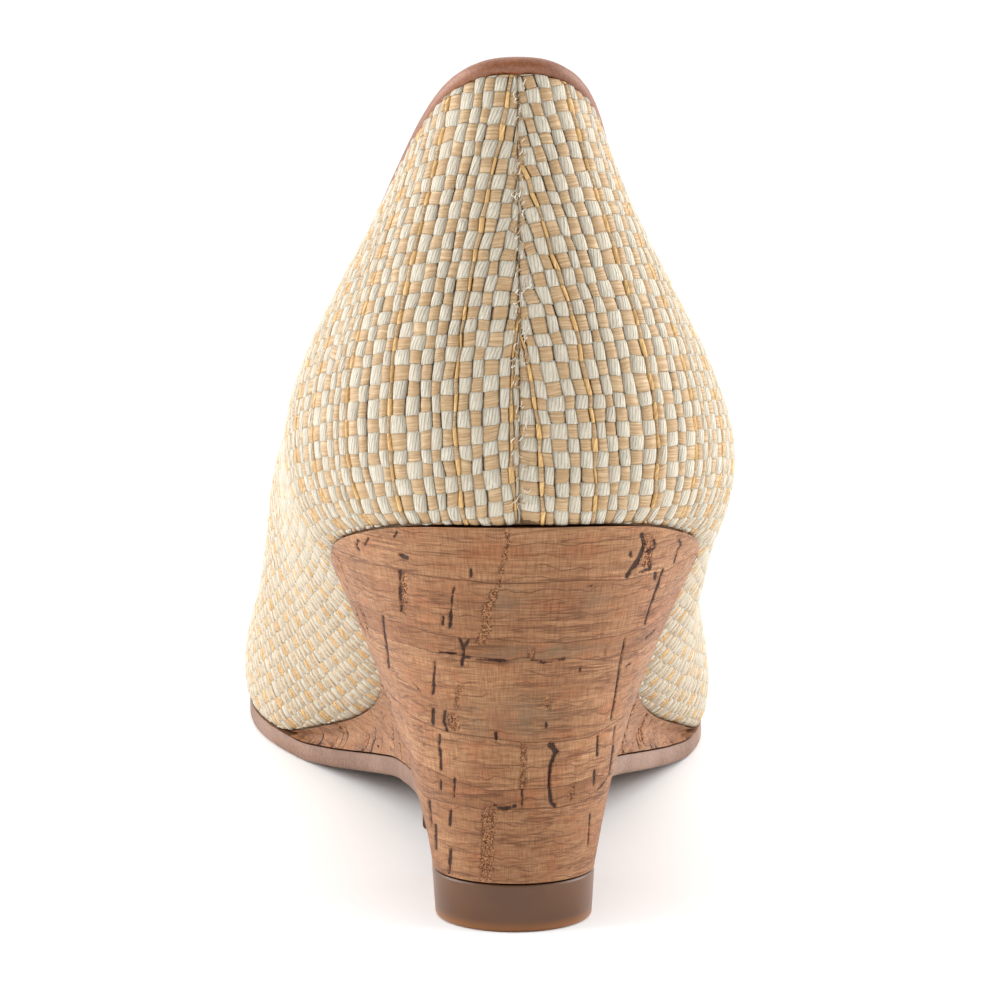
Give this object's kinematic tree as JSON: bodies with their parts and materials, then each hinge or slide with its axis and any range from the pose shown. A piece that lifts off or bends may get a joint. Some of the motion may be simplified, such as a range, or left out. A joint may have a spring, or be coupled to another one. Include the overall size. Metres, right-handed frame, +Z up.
{
  "type": "wedge shoe",
  "caption": "Right wedge pump: hollow woven cloth upper with a rolled leather topline, on a cork wedge with a brown heel lift and a thin outsole, standing empty.",
  "frame": {"origin": "on the ground under the middle of the shoe's box", "axes": "+Y from heel to toe, +X to the outer (lateral) side of the right foot, +Z up"},
  "size_m": [0.0804, 0.2336, 0.1186],
  "materials": {
    "outsole": "satin brown",
    "cork": "cork sheet with dark pores, sanded",
    "heel_lift": "satin brown, amber where thin",
    "woven_cloth": "plain weave of cream yarn and tan ribbon with gold threads",
    "binding_leather": "smooth brown, half gloss",
    "insole_leather": "smooth tan, matt"
  },
  "bodies": {
    "root": {"outsole": "outsole", "wedge": "cork", "heel_lift": "heel_lift", "upper": "woven_cloth", "topline_binding": "binding_leather", "insole": "insole_leather"}
  },
  "joints": []
}
